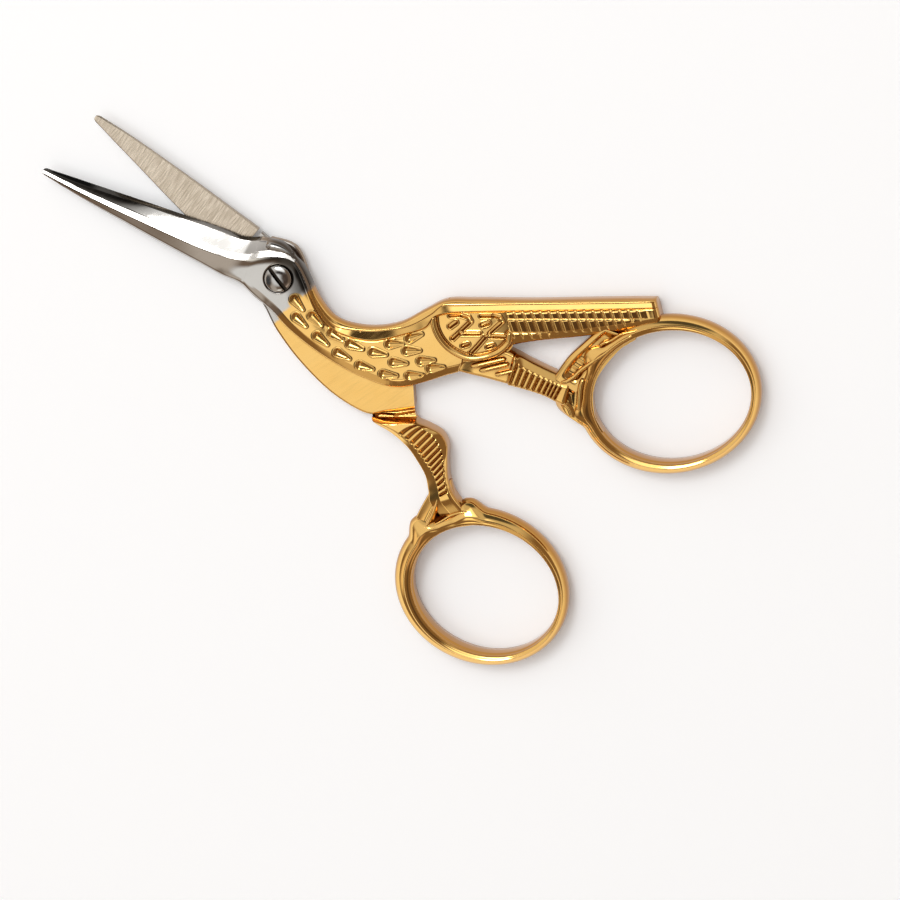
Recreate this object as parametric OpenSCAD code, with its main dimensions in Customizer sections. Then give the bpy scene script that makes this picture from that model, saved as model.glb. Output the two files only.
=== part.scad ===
// Stork embroidery scissors: two forged halves that cross on a slotted screw.
// The front half is the beak, neck, wing, tail and hind leg of the bird with the
// finger ring. The back half is the other beak and neck with the front leg and
// the thumb ring. X runs along the tail, Z is the pivot axis, and the backs of
// the rings lie on Z = 0. Both halves are drawn closed, and the back half is
// then turned open about the screw.

/* [Whole scissors] */
// Thickness of each half where the two cross
half_t = 2.05; // [1.7:0.05:2.6]
// Space between the two sliding faces
slide_gap = 0.04; // [0.02:0.01:0.08]
// Angle that the halves stand open
open_angle = 16.5; // [0:0.5:60]
// Depth of the plain faces below the rings, ribs and wing rim
relief = 0.25; // [0.1:0.05:0.4]

/* [Blades] */
// Pivot to tip of the front half's blade
front_reach = 33.0; // [26:0.2:42]
// Pivot to tip of the back half's blade
back_reach = 30.7; // [26:0.2:42]
// Width of a blade at its heel
blade_w = 4.9; // [4:0.1:5.6]
// Thickness of the cutting edge
edge_t = 0.14; // [0.1:0.02:0.3]
// Thickness of the back edge beside the heel
spine_t = 1.15; // [0.8:0.05:1.5]
// Direction of the front blade from the tail's line
blade_line = 157.4; // [150:0.2:165]
// Angle that the back blade stays short of the front one when closed
blade_set = 0.6; // [0:0.1:1.5]

/* [Head and pivot screw] */
// Radius of the round head about the screw
head_r = 3.8; // [3.6:0.1:4.8]
// Shank diameter of the pivot screw
shank_d = 2.0; // [1.6:0.1:2.6]
// Diameter of the screw's head
screw_head_d = 3.5; // [3:0.1:4.2]
// Height of the head's straight rim
screw_rim_h = 0.45; // [0.3:0.05:0.7]
// Rise of the head's dome above its rim
screw_dome_h = 0.3; // [0.1:0.05:0.4]
// Depth of the seat sunk for the head
screw_seat_h = 0.4; // [0.2:0.05:0.6]
// Radial play of the front half on the shank
pivot_play = 0.03; // [0.01:0.01:0.08]
// Width of the driver slot
slot_w = 0.45; // [0.3:0.05:0.7]
// Depth of the driver slot below the dome's top
slot_h = 0.5; // [0.3:0.05:0.65]

/* [Neck, wing and tail] */
// Width of the bevel along the neck and body
shoulder_w = 1.1; // [0.6:0.1:1.4]
// Drop of the bevel at the outline
shoulder_h = 0.85; // [0.5:0.05:1.1]
// Length of the tail past the wing
tail_l = 18.5; // [14:0.5:24]
// Play between the back half's neck and the body's step
step_gap = 0.2; // [0.15:0.05:0.4]
// Width of the raised rim round the wing
rim_w = 0.75; // [0.4:0.05:1]

/* [Feathers] */
// Length of one feather hollow
feather_l = 2.2; // [1.6:0.1:2.6]
// Width of one feather hollow
feather_w = 1.0; // [0.6:0.05:1.3]
// Depth of a feather hollow
feather_h = 0.25; // [0.1:0.05:0.4]

/* [Legs] */
// Ribs across the front leg
front_ribs = 13; // [8:1:16]
// Ribs across the hind leg
hind_ribs = 10; // [6:1:12]
// Depth of the grooves between the ribs
rib_h = 0.3; // [0.15:0.05:0.4]
// Bevel along the edges of the legs and rings
leg_bevel = 0.5; // [0.3:0.05:0.6]
// Play between the closed belly and the front leg
seat_gap = 0.22; // [0.15:0.01:0.4]

/* [Rings] */
// Long inner diameter of the finger ring
finger_l = 20.0; // [18:0.1:22]
// Short inner diameter of the finger ring
finger_w = 17.0; // [15:0.1:18]
// Long inner diameter of the thumb ring
thumb_l = 19.2; // [17:0.1:20]
// Short inner diameter of the thumb ring
thumb_w = 16.8; // [15:0.1:18]
// Width of a ring's band opposite its crown
band_w = 1.25; // [1:0.05:1.6]
// Width of the finger ring's band at its widest
finger_band = 2.1; // [1.7:0.05:2.5]
// Width of the thumb ring's band at its widest
thumb_band = 2.45; // [1.7:0.05:2.8]
// Rise of the knuckles beside a ring's crown
knuckle_h = 1.6; // [0.5:0.1:1.8]
// Drop of a ring's rounded faces at the edge of the band
band_drop = 1.3; // [0.8:0.05:1.6]

/* [Hidden] */

steel = [0.78, 0.77, 0.75];
gold = [0.86, 0.66, 0.27];
curve_fn = 64;
whole_t = 2 * half_t;
face_z = whole_t - relief;
lift = half_t + slide_gap / 2;
overlap = 0.6;

// A smooth curve through rows of numbers, read at u from 0 to 1.
function clamp_row(rows, i) = rows[max(0, min(len(rows) - 1, i))];
function along(rows, u) =
    let (
        span = len(rows) - 1,
        i = min(span - 1, floor(u * span)),
        t = u * span - i,
        a = clamp_row(rows, i - 1),
        b = rows[i],
        c = rows[i + 1],
        d = clamp_row(rows, i + 2)
    )
    0.5 * (2 * b + (c - a) * t + (2 * a - 5 * b + 4 * c - d) * t * t + (3 * b - a - 3 * c + d) * t * t * t);
function curve(rows, steps) = [for (i = [0:steps]) along(rows, i / steps)];

// One section of a solid between a left and a right edge point.
// Each profile entry is its side, its distance in from that side, and its height.
function section(left, right, profile) =
    let (across = (right - left) / norm(right - left))
    [for (p = profile)
        let (foot = p[0] == 0 ? left + across * p[1] : right - across * p[1])
        [foot.x, foot.y, p[2]]];
function row_section(row, profile) = section([row[0], row[1]], [row[2], row[3]], profile);

// A closed skin over sections that have equally many points.
module loft(sections, closed = false) {
    count = len(sections);
    ring = len(sections[0]);
    strips = closed ? count : count - 1;
    side_faces = [
        for (i = [0:strips - 1], j = [0:ring - 1], half = [0, 1])
            let (
                a = i * ring + j,
                b = (i + 1) % count * ring + j,
                c = (i + 1) % count * ring + (j + 1) % ring,
                d = i * ring + (j + 1) % ring
            )
            half == 0 ? [a, b, c] : [a, c, d]
    ];
    caps = closed ? [] : [
        [for (j = [0:ring - 1]) j],
        [for (j = [ring - 1:-1:0]) (count - 1) * ring + j]
    ];
    polyhedron(points = [for (s = sections, p = s) p], faces = concat(side_faces, caps), convexity = 8);
}

// Profiles: half-thick plates bevelled outside, and whole-thick bars bevelled on both faces.
function plate_profile(foot, face, w, h) = [
    [0, 0, foot], [0, 0, face - h], [0, 0.4 * w, face - 0.3 * h], [0, w, face],
    [1, w, face], [1, 0.4 * w, face - 0.3 * h], [1, 0, face - h], [1, 0, foot]
];
function bar_profile(low, high, w, h, dip = 0) = [
    [0, 0, low + h], [0, 0, high - h], [0, 0.4 * w, high - max(0.3 * h, dip)], [0, w, high - dip],
    [1, w, high - dip], [1, 0.4 * w, high - max(0.3 * h, dip)], [1, 0, high - h], [1, 0, low + h],
    [1, 0.4 * w, low + max(0.3 * h, dip)], [1, w, low + dip],
    [0, w, low + dip], [0, 0.4 * w, low + max(0.3 * h, dip)]
];

// Blade along X from the screw, standing on its flat inner face at Z = 0.
// Each row: share of the reach, shares of the width to the spine and to the
// cutting edge, place of the ridge, and shares of the full height and spine height.
blade_rows = [
    [0.00, 0.66, 0.72, -0.50, 1.00, 1.25],
    [0.14, 0.59, 0.70, -0.42, 1.00, 1.20],
    [0.25, 0.51, 0.57, -0.14, 1.00, 1.05],
    [0.38, 0.48, 0.51, -0.03, 0.92, 0.95],
    [0.57, 0.41, 0.38, 0.03, 0.70, 0.75],
    [0.75, 0.32, 0.21, 0.03, 0.52, 0.55],
    [0.90, 0.20, 0.12, 0.02, 0.36, 0.38],
    [1.00, 0.09, 0.09, 0.00, 0.26, 0.28]
];
blade_steps = 21;
module blade(reach) {
    height = face_z - lift;
    loft([for (r = curve(blade_rows, blade_steps)) [
        [r[0] * reach, r[1] * blade_w, 0],
        [r[0] * reach, r[1] * blade_w, r[5] * spine_t],
        [r[0] * reach, r[3] * blade_w + 0.05 * blade_w, r[4] * height],
        [r[0] * reach, r[3] * blade_w - 0.05 * blade_w, r[4] * height],
        [r[0] * reach, -r[2] * blade_w, edge_t],
        [r[0] * reach, -r[2] * blade_w, 0]
    ]]);
}

// Neck from the heel of the blade to the breast: upper edge point, belly point.
neck_rows = [
    [-2.6, 4.4, -4.8, -1.1],
    [0.9, 4.2, -3.0, -2.7],
    [3.6, 0.9, -0.9, -4.5],
    [5.2, -2.5, 1.4, -6.9],
    [7.5, -5.0, 5.3, -9.8],
    [11.4, -5.8, 10.3, -12.4],
    [15.3, -5.2, 15.4, -13.6],
    [18.6, -3.4, 21.8, -11.7]
];
neck_steps = 28;
// In the front half the neck runs on inside the body.
front_neck_rows = concat(neck_rows, [[20.2, -3.8, 22.9, -10.4]]);
module neck(rows) {
    loft([for (r = curve(rows, neck_steps))
        row_section(r, plate_profile(lift, face_z, shoulder_w, shoulder_h))]);
}

// Wing and tail behind the step: upper edge point, lower edge point.
step_row = neck_rows[7];
wing_end = 30.0;
tail_end = wing_end + tail_l;
function tail_x(share) = wing_end + share * tail_l;
body_rows = [
    step_row,
    [21.2, -2.1, 24.0, -11.0],
    [24.6, -1.9, 26.4, -9.8],
    [28.2, -1.8, 28.8, -8.0],
    [tail_x(0.12), -1.7, tail_x(0.12), -7.1],
    [tail_x(0.45), -1.4, tail_x(0.46), -6.2],
    [tail_x(0.78), -1.1, tail_x(0.80), -5.1],
    [tail_x(0.95), -1.0, tail_x(1.00), -4.3]
];
body_steps = 24;
module body() {
    loft([for (r = curve(body_rows, body_steps))
        row_section(r, bar_profile(relief, face_z, shoulder_w, shoulder_h))]);
}

// Raised line of the given width that follows a path, from one height to another.
function normal_at(path, i) =
    let (
        a = path[max(0, i - 1)],
        b = path[min(len(path) - 1, i + 1)],
        t = (b - a) / norm(b - a)
    )
    [-t.y, t.x];
module ridge(path, w, foot, top) {
    loft([for (i = [0:len(path) - 1])
        section(path[i] + normal_at(path, i) * w / 2, path[i] - normal_at(path, i) * w / 2,
            [[0, 0, foot], [0, 0.2 * w, top], [1, 0.2 * w, top], [1, 0, foot]])]);
}

wing_path = [
    [20.2, -3.9], [19.9, -5.6], [20.9, -7.7], [23.0, -9.2],
    [25.2, -9.4], [27.6, -8.6], [29.2, -7.2], [29.6, -5.4]
];
wing_steps = 21;
module wing_rim() {
    path = curve(wing_path, wing_steps);
    ridge(path, rim_w, face_z - overlap, whole_t);
    translate([0, 0, whole_t])
        mirror([0, 0, 1])
            ridge(path, rim_w, face_z - overlap, whole_t);
}

// A leg: sections along its rows, with ribs between two shares of its length.
function rib_dip(u, from, to, ribs) =
    let (phase = (u - from) / (to - from) * ribs)
    u < from || u > to ? 0 : (phase - floor(phase) < 0.5 ? 0 : rib_h);
function rib_stations(from, to, ribs) =
    [for (i = [0:ribs - 1], k = [0.02, 0.48, 0.55, 0.95]) from + (to - from) * (i + k) / ribs];
module leg(rows, from, to, ribs, first_z = whole_t) {
    stations = concat(
        [for (i = [0:3]) from * i / 4],
        rib_stations(from, to, ribs),
        [for (i = [1:4]) to + (1 - to) * i / 4]
    );
    loft([for (u = stations)
        row_section(along(rows, u), bar_profile(0, u == 0 ? first_z : whole_t, leg_bevel, leg_bevel + 0.1,
            rib_dip(u, from, to, ribs)))]);
}

// Hind leg from the thigh under the wing to the crown of the finger ring.
hind_rows = [
    [24.5, -6.5, 22.8, -11.4],
    [27.0, -7.5, 25.6, -11.9],
    [29.6, -8.3, 28.6, -12.6],
    [32.2, -9.6, 31.2, -13.2],
    [34.7, -10.7, 33.6, -13.9],
    [36.5, -11.4, 35.3, -14.7],
    [38.6, -11.6, 38.2, -16.0]
];
// Strut from the ankle up to the underside of the tail.
strut_rows = [
    [34.9, -11.4, 37.8, -13.2],
    [36.6, -8.9, 39.4, -10.6],
    [38.7, -6.8, 41.3, -8.2],
    [40.8, -4.8, 44.0, -5.8]
];
strut_steps = 9;
module strut() {
    loft([for (r = curve(strut_rows, strut_steps))
        row_section(r, bar_profile(relief, face_z, 2 * leg_bevel, leg_bevel))]);
}

// Ring with an oval hole: its band swells to the knuckles at the given angles.
function bump(t) = abs(t) < 1 ? (1 + cos(180 * t)) / 2 : 0;
function oval(centre, l, w, turn, out, a) =
    let (
        x = (l / 2 + out) * cos(a),
        y = (w / 2 + out) * sin(a)
    )
    centre + [x * cos(turn) - y * sin(turn), x * sin(turn) + y * cos(turn)];
ring_steps = 60;
knuckle_span = 15;
module ring(centre, l, w, turn, widest, wide_at, knuckles) {
    loft([for (i = [0:ring_steps - 1])
        let (
            a = 360 * i / ring_steps,
            swell = max([for (k = knuckles) bump((a + turn - k) / knuckle_span)]),
            band = band_w + (widest - band_w) * (1 + cos(a + turn - wide_at)) / 2
        )
        section(oval(centre, l, w, turn, 0, a), oval(centre, l, w, turn, band + knuckle_h * swell, a),
            bar_profile(0, whole_t, 0.36 * band, band_drop))], closed = true);
}

finger_centre = [49.7, -13.4];
finger_turn = 10.6;
finger_wide_at = 165;
finger_knuckles = [150, 193];
thumb_centre = [36.5, -30.5];
thumb_turn = -5.6;
thumb_wide_at = 180;
thumb_knuckles = [114, 145];
module finger_ring() {
    ring(finger_centre, finger_l, finger_w, finger_turn, finger_band, finger_wide_at, finger_knuckles);
}
module thumb_ring() {
    ring(thumb_centre, thumb_l, thumb_w, thumb_turn, thumb_band, thumb_wide_at, thumb_knuckles);
}

// Front leg, drawn with the scissors closed: its top follows the belly.
belly_back = [21.8, -11.7];
belly_front = [16.5, -13.7];
front_leg_rows = [
    [belly_back.x, belly_back.y - 1.6 * seat_gap, belly_front.x, belly_front.y - seat_gap],
    [23.5, -12.3, 19.2, -14.6],
    [25.3, -12.7, 21.6, -15.7],
    [26.5, -13.9, 23.4, -17.1],
    [27.1, -15.8, 24.9, -18.6],
    [27.9, -18.0, 25.8, -20.3],
    [29.2, -19.8, 26.5, -21.8],
    [31.6, -21.6, 28.8, -23.6]
];
root_rows = [
    [20.2, -9.0, 14.9, -11.5],
    [20.6, -11.0, 15.9, -13.0],
    front_leg_rows[0],
    front_leg_rows[1]
];
module leg_root() {
    loft([for (r = root_rows)
        row_section(r, [[0, 0, relief], [0, 0, whole_t - lift], [1, 0, whole_t - lift], [1, 0, relief]])]);
}

// Bosses of the head.
module head_boss() {
    top = face_z - lift;
    translate([0, 0, lift])
        rotate_extrude($fn = curve_fn)
            polygon([[0, 0], [head_r, 0], [head_r, top - 0.6], [head_r - 0.8, top], [0, top]]);
}

// Feather hollows in staggered rows down the neck: place of the round end's
// side and direction of the point.
feather_rows = [
    [2.5, -3.1, -50], [2.8, -5.3, -42], [4.8, -5.1, -45], [5.5, -7.6, -38], [7.4, -7.1, -32],
    [8.2, -9.5, -26], [9.8, -8.3, -20], [11.1, -10.9, -14], [12.8, -9.1, -8], [14.1, -11.8, -4],
    [14.9, -7.8, 6], [15.4, -10.2, -2], [17.1, -8.6, 4], [17.4, -11.8, 4], [17.4, -6.8, 22],
    [18.9, -9.8, 6], [20.1, -10.7, 8]
];
module feather() {
    r = feather_w / 2;
    reach = feather_l - r;
    touch = acos(r / reach);
    linear_extrude(whole_t) {
        circle(r = r, $fn = 24);
        polygon([[reach, 0], [r * cos(touch), r * sin(touch)], [r * cos(touch), -r * sin(touch)]]);
    }
}
module feathers(count) {
    for (i = [0:count - 1])
        translate([feather_rows[i].x, feather_rows[i].y, face_z - feather_h])
            rotate(feather_rows[i].z)
                translate([-feather_l / 3, 0, 0])
                    feather();
}

module front_half() {
    difference() {
        union() {
            color(steel) translate([0, 0, lift]) rotate(blade_line) blade(front_reach);
            color(steel) head_boss();
            color(gold) neck(front_neck_rows);
            color(gold) body();
            color(gold) wing_rim();
            color(gold) leg(hind_rows, 0.34, 0.8, hind_ribs);
            color(gold) strut();
            color(gold) finger_ring();
        }
        cylinder(h = whole_t + 1, d = shank_d + 2 * pivot_play, $fn = curve_fn);
        translate([0, 0, face_z - screw_seat_h])
            cylinder(h = 1 + screw_seat_h, d = screw_head_d + 4 * pivot_play, $fn = curve_fn);
        feathers(len(feather_rows));
    }
}

// The plate of the back half stops short of the step in the body.
back_feathers = 14;
back_neck_rows = [for (i = [0:7])
    i < 7 ? neck_rows[i] : [for (k = [0:3]) step_row[k] + (k % 2 == 0 ? -step_gap : 0)]];
module back_half() {
    rotate(-open_angle)
        difference() {
            union() {
                color(steel)
                    translate([0, 0, whole_t - lift])
                        rotate(blade_line - blade_set)
                            rotate([180, 0, 0])
                                blade(back_reach);
                translate([0, 0, whole_t]) mirror([0, 0, 1]) {
                    color(steel) head_boss();
                    color(gold) neck(back_neck_rows);
                }
                color(gold) leg_root();
                color(gold) leg(front_leg_rows, 0.13, 0.84, front_ribs, half_t + leg_bevel);
                color(gold) thumb_ring();
            }
            translate([0, 0, -1])
                cylinder(h = whole_t + 1, d = shank_d, $fn = curve_fn);
            translate([0, 0, whole_t]) mirror([0, 0, 1]) feathers(back_feathers);
        }
}

module pivot_screw() {
    seat = face_z - screw_seat_h + 0.02;
    color(steel)
        difference() {
            rotate_extrude($fn = curve_fn)
                polygon(concat(
                    [[0, 0], [shank_d / 2, 0], [shank_d / 2, seat], [screw_head_d / 2, seat]],
                    [for (i = [0:6])
                        [screw_head_d / 2 * cos(15 * i), seat + screw_rim_h + screw_dome_h * sin(15 * i)]]
                ));
            translate([0, 0, seat + screw_rim_h + screw_dome_h - slot_h])
                rotate(-52)
                    translate([-screw_head_d, -slot_w / 2, 0])
                        cube([2 * screw_head_d, slot_w, 2 * slot_h]);
        }
}

front_half();
back_half();
pivot_screw();
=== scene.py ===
"""Looks of the stork embroidery scissors: detailed castings, screw, metals, floor and light.

Sizes are in millimetres in the model's own frame and become metres as each mesh is made.
"""

import math

import bpy
import numpy as np
from mathutils import Matrix, Vector

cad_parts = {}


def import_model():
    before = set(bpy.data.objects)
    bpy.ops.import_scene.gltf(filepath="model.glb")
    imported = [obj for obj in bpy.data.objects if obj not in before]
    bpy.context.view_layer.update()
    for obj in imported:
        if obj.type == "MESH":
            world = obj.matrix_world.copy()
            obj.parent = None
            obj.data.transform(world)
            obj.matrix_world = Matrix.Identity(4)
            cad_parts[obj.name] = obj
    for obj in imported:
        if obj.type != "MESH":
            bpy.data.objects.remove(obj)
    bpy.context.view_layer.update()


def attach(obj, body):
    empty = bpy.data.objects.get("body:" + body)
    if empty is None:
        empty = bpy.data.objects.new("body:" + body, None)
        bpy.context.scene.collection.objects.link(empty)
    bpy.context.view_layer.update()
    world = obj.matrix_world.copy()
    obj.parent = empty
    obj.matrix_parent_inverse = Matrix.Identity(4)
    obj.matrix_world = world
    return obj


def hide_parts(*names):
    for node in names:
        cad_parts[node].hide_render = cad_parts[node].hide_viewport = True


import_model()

MM = 0.001

# Heights, as in the solids: middle plane, outer face, relief, level of the carved face, and
# the inner faces of the front and the back half
HALF_T = 2.05
FACE_Z = 3.85
RELIEF = 0.25
HEAD_Z = 3.66
LIFT = 2.07
INNER_Z = 2.03

# Opening of the blades in the photograph, in degrees
OPEN_ANGLE = 16.5

# Seat of the screw's head in the front half
SEAT_R = 1.87
SEAT_OUT = 2.6
WELL_Z = FACE_Z - 1.2

# Dome and driver slot of the screw
DOME_R = 1.7
DOME_H = 0.33
DOME_FOOT_Z = FACE_Z + 0.02
SLOT_TURN = math.radians(-52)
SLOT_FLOOR_Z = FACE_Z - 0.2

# Camera: degrees right of and above the scissors' own axis, distance and scale
CAMERA_RIGHT = 9.0
CAMERA_ABOVE = 14.5
CAMERA_DISTANCE = 450.0
LOOK_AT = (21.587, -21.720, 2.0)
PIXELS_PER_MM = 7.9
PICTURE_WIDTH = 900
SENSOR_WIDTH = 36.0


# Curves and distances

def along(rows, u):
    """Points at shares u of a smooth curve through rows."""
    rows = np.asarray(rows, float)
    u = np.atleast_1d(u)
    span = len(rows) - 1
    i = np.minimum((u * span).astype(int), span - 1)
    t = (u * span - i)[:, None]
    a, b = rows[np.maximum(i - 1, 0)], rows[i]
    c, d = rows[i + 1], rows[np.minimum(i + 2, span)]
    return 0.5 * (
        2 * b + (c - a) * t + (2 * a - 5 * b + 4 * c - d) * t**2 + (3 * b - a - 3 * c + d) * t**3
    )


def smooth(points, steps=8):
    """A smooth path through points, with that many steps for each of them."""
    return along(points, np.linspace(0, 1, steps * (len(points) - 1) + 1))


def table(x, rows):
    """A smooth function of x through rows of (x, value)."""
    xs, ys = np.asarray(rows, float).T
    slope = np.gradient(ys, xs)
    i = np.clip(np.searchsorted(xs, x) - 1, 0, len(xs) - 2)
    h = xs[i + 1] - xs[i]
    t = np.clip((x - xs[i]) / h, 0, 1)
    return (
        (1 + 2 * t) * (1 - t) ** 2 * ys[i] + t * (1 - t) ** 2 * h * slope[i]
        + t**2 * (3 - 2 * t) * ys[i + 1] - t**2 * (1 - t) * h * slope[i + 1]
    )


def ramp(x, low, high):
    """Straight rise from 0 at low to 1 at high."""
    return np.clip((x - low) / (high - low), 0, 1)


def step(x, low, high):
    """Smooth rise from 0 at low to 1 at high."""
    t = ramp(x, low, high)
    return t * t * (3 - 2 * t)


def between(a, b, share):
    """The value that lies that share of the way from a to b."""
    return a + (b - a) * share


def hump(d, half):
    """1 where d is 0, falling smoothly to 0 at half."""
    return 0.5 + 0.5 * np.cos(np.pi * np.clip(np.abs(d) / half, 0, 1))


def turned(points, angle):
    """2-D points turned about the pivot by an angle in degrees."""
    a = math.radians(angle)
    x, y = np.asarray(points, float)[..., 0], np.asarray(points, float)[..., 1]
    return np.stack([x * math.cos(a) - y * math.sin(a), x * math.sin(a) + y * math.cos(a)], -1)


def turned_rows(rows, angle):
    """Rows of left and right edge points turned about the pivot."""
    return turned(np.reshape(rows, (-1, 2, 2)), angle).reshape(-1, 4)


def gap(x, y, path):
    """Distance from each point to a path."""
    best = np.full(np.shape(x), 1e9)
    path = np.asarray(path, float)
    for a, b in zip(path[:-1], path[1:]):
        d = b - a
        t = np.clip(((x - a[0]) * d[0] + (y - a[1]) * d[1]) / (d @ d), 0, 1)
        best = np.minimum(best, np.hypot(x - a[0] - t * d[0], y - a[1] - t * d[1]))
    return best


def inside(x, y, outline):
    """True for the points within a closed outline."""
    hit = np.zeros(np.shape(x), bool)
    outline = np.asarray(outline, float)
    for a, b in zip(outline, np.roll(outline, -1, axis=0)):
        if a[1] != b[1]:
            crosses = (a[1] > y) != (b[1] > y)
            hit ^= crosses & (x < (b[0] - a[0]) * (y - a[1]) / (b[1] - a[1]) + a[0])
    return hit


def sunk(x, y, outline, slope):
    """0 outside a closed outline, rising to 1 at that distance within it."""
    return inside(x, y, outline) * step(gap(x, y, outline + outline[:1]), 0, slope)


def drop(x, y, place, r, length):
    """Signed distance to a drop with its round end towards the back, and its bowl from 0 to 1."""
    a = math.radians(place[2])
    dx, dy = x - place[0], y - place[1]
    p = dx * math.cos(a) + dy * math.sin(a) + length / 3
    q = np.abs(-dx * math.sin(a) + dy * math.cos(a))
    h, tip = length - r, 0.18
    b = (r - tip) / h
    c = math.sqrt(1 - b * b)
    k = c * p - b * q
    near, far = np.hypot(p, q) - r, np.hypot(p - h, q) - tip
    d = np.where(k < 0, near, np.where(k > c * h, far, c * q + b * p - r))
    half = np.where(p < b * r, np.sqrt(np.clip(r * r - p * p, 1e-6, None)), (r - b * p) / c)
    bowl = np.clip(1 - (q / np.maximum(half, 0.05)) ** 2, 0, 1) * step(p, -r, -0.2 * r)
    return d, bowl * (1 - 0.75 * np.clip(p / h, 0, 1)) * (1 - step(p, h - 0.5, h + tip))


# Meshes

def placed(name, data):
    """A new object in the scene."""
    obj = bpy.data.objects.new(name, data)
    bpy.context.scene.collection.objects.link(obj)
    return obj


def mesh_object(name, points, quads, triangles, sharp):
    """A closed mesh from points in millimetres, smooth except at edges sharper than that angle."""
    points = np.asarray(points, float)
    quads = np.asarray(quads, int).reshape(-1, 4)
    triangles = np.asarray(triangles, int).reshape(-1, 3)
    halves = np.vstack([quads[:, :3], quads[:, [0, 2, 3]], triangles])
    a, b, c = (points[halves[:, k]] for k in range(3))
    if np.sum(a * np.cross(b, c)) < 0:
        quads, triangles = quads[:, ::-1], triangles[:, ::-1]
    mesh = bpy.data.meshes.new(name)
    mesh.from_pydata((points * MM).tolist(), [], quads.tolist() + triangles.tolist())
    mesh.validate()
    mesh.shade_smooth()
    mesh.set_sharp_from_angle(angle=math.radians(sharp))
    return placed(name, mesh)


def raised(points, z):
    """Points of a plane lifted to heights z."""
    return np.concatenate([points, (z * np.ones(points.shape[:-1]))[..., None]], -1)


def circles(radii, pitch):
    """Points on circles about the pivot, one every pitch degrees."""
    turns = np.radians(np.arange(0, 360, pitch))[:, None]
    return np.stack([radii * np.cos(turns), radii * np.sin(turns)], -1)


def grid(count, size, loop, closed):
    """Faces between count rows of size points.

    loop joins the last row to the first one, and closed joins the ends of each row.
    """
    i = np.arange(count if loop else count - 1)[:, None]
    j = np.arange(size if closed else size - 1)[None, :]
    n, k = (i + 1) % count, (j + 1) % size
    return np.stack([i * size + j, n * size + j, n * size + k, i * size + k], -1)


def zipper(top, low):
    """Triangles that fill the gap between two chains of point numbers running the same way."""
    i = j = 0
    tops, lows = len(top) - 1, len(low) - 1
    triangles = []
    while i < tops or j < lows:
        if j == lows or (i < tops and (i + 1) * lows <= (j + 1) * tops):
            triangles.append((top[i], top[i + 1], low[j]))
            i += 1
        else:
            triangles.append((top[i], low[j + 1], low[j]))
            j += 1
    return triangles


def skin(name, rings, top_count=None, sharp=38):
    """A closed skin over rings of equally many points, round a loop or with ends.

    With ends, the first top_count points of a ring run left to right and the rest run back.
    """
    count, size, _ = rings.shape
    ends = []
    if top_count:
        first = zipper(range(top_count), range(size - 1, top_count - 1, -1))
        last = (count - 1) * size
        ends = first + [(c + last, b + last, a + last) for a, b, c in first]
    quads = grid(count, size, loop=not top_count, closed=True)
    return mesh_object(name, rings.reshape(-1, 3), quads, ends, sharp)


def slab(name, xy, top, low, sharp=38):
    """A closed skin over rows of plane points, with those heights above and below."""
    rings = np.concatenate([raised(xy, top), raised(xy, low)[:, ::-1]], axis=1)
    return skin(name, rings, xy.shape[1], sharp)


def stations(rows, fineness, span=(0, 1)):
    """Shares of rows at even distances along the middle of the plate."""
    u = np.linspace(*span, 600)
    r = along(rows, u)
    middle = (r[:, :2] + r[:, 2:]) / 2
    length = np.append(0, np.cumsum(np.linalg.norm(np.diff(middle, axis=0), axis=1)))
    count = max(3, round(length[-1] / fineness))
    return np.interp(np.linspace(0, length[-1], count + 1), length, u)


def spread(start, end, count, ease=""):
    """Columns from start up to end, crowded towards the sides that ease names."""
    t = np.arange(count) / count
    if ease == "start":
        t = 1 - np.cos(t * math.pi / 2)
    elif ease == "end":
        t = np.sin(t * math.pi / 2)
    elif ease == "both":
        t = (1 - np.cos(t * math.pi)) / 2
    return between(start, end, t[None, :])


def even_columns(edge, edge_count, middle_count):
    """Insets that crowd towards both edges of a plate."""
    def columns(left, right, width):
        zone = np.minimum(edge, 0.4 * width)
        return np.concatenate([
            spread(0, zone, edge_count, "start"),
            spread(zone, width - zone, middle_count),
            spread(width - zone, width, edge_count, "end"),
            width,
        ], axis=1)
    return columns


def crossing(left, right, path):
    """How far from the left edge towards the right one a path crosses each station."""
    width = np.linalg.norm(right - left, axis=1)
    across = (right - left) / width[:, None]
    a, b = path[None, :-1], path[None, 1:]
    d = b - a
    o = left[:, None]
    u = across[:, None]
    det = u[..., 0] * -d[..., 1] + u[..., 1] * d[..., 0]
    w = a - o
    along_station = (w[..., 0] * -d[..., 1] + w[..., 1] * d[..., 0]) / det
    along_path = (u[..., 0] * w[..., 1] - u[..., 1] * w[..., 0]) / det
    hit = (along_path >= -1e-6) & (along_path <= 1 + 1e-6) & (along_station > 0)
    found = np.where(hit, along_station, 1e9).min(axis=1)
    share = np.where(found < width, found / width, np.nan)
    known = ~np.isnan(share)
    share = np.interp(np.arange(len(share)), np.flatnonzero(known), share[known])
    return (share * width)[:, None]


def plate(name, rows, top, low, columns, fineness, low_count=22, span=(0, 1)):
    """A plate between the two edges that rows give, with carved top and low faces.

    top and low take x, y, the distance in from the left edge, the width there and the share u.
    """
    u = stations(rows, fineness, span)
    r = along(rows, u)
    left, right = r[:, :2], r[:, 2:]
    width = np.linalg.norm(right - left, axis=1)[:, None]
    faces = []
    low_insets = width * (1 - np.cos(np.linspace(0, math.pi, low_count)))[None, :] / 2
    for inset, height in ((columns(left, right, width), top), (low_insets, low)):
        p = left[:, None] + ((right - left) / width)[:, None] * inset[..., None]
        share = np.repeat(u[:, None], inset.shape[1], axis=1)
        faces.append(raised(p, height(p[..., 0], p[..., 1], inset, width, share)))
    return skin(name, np.concatenate([faces[0], faces[1][:, ::-1]], axis=1), faces[0].shape[1], 75)


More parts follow.
